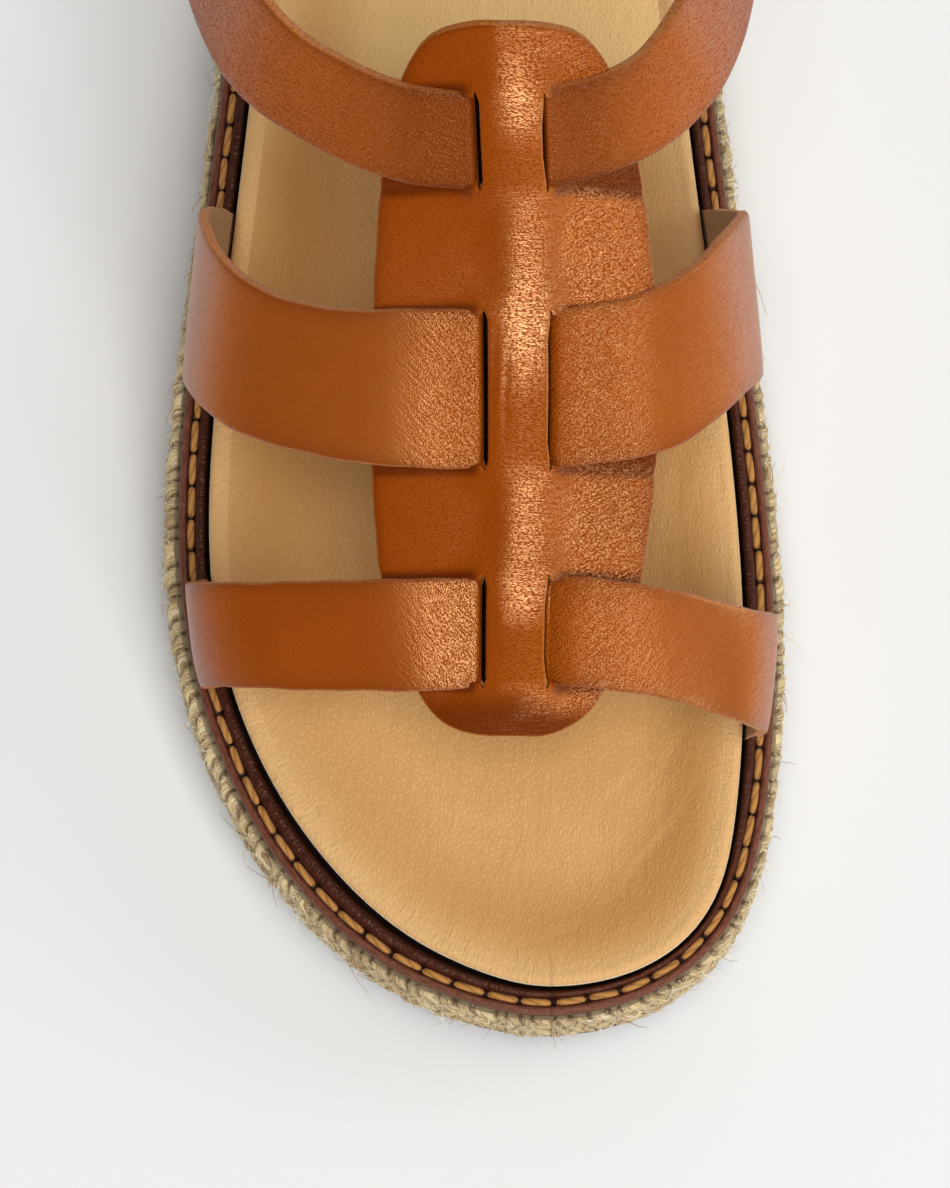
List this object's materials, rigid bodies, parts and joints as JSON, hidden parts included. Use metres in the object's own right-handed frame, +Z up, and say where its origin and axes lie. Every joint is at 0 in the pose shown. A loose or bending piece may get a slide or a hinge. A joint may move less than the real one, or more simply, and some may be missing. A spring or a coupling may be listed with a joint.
{
  "type": "fisherman sandal",
  "caption": "Open-toed fisherman sandal: wide leather straps pass through a slotted instep plate, over a padded footbed and a rope-wrapped platform sole.",
  "frame": {"origin": "on the floor, under the middle of the sandal's box", "axes": "+Z up, toe towards -Y, heel towards +Y, the big toe's side towards +X"},
  "size_m": [0.1012, 0.2609, 0.1041],
  "materials": {
    "rubber": "matte, with a fine tread",
    "jute": "braided natural fibre",
    "welt_leather": "smooth, stitched all round",
    "footbed_leather": "soft, padded, satin",
    "upper_leather": "fine pebbled grain, satin, raw cut edges"
  },
  "bodies": {
    "root": {"outsole": "rubber", "midsole": "jute", "welt": "welt_leather", "insole": "footbed_leather", "upper": "upper_leather"}
  },
  "joints": []
}
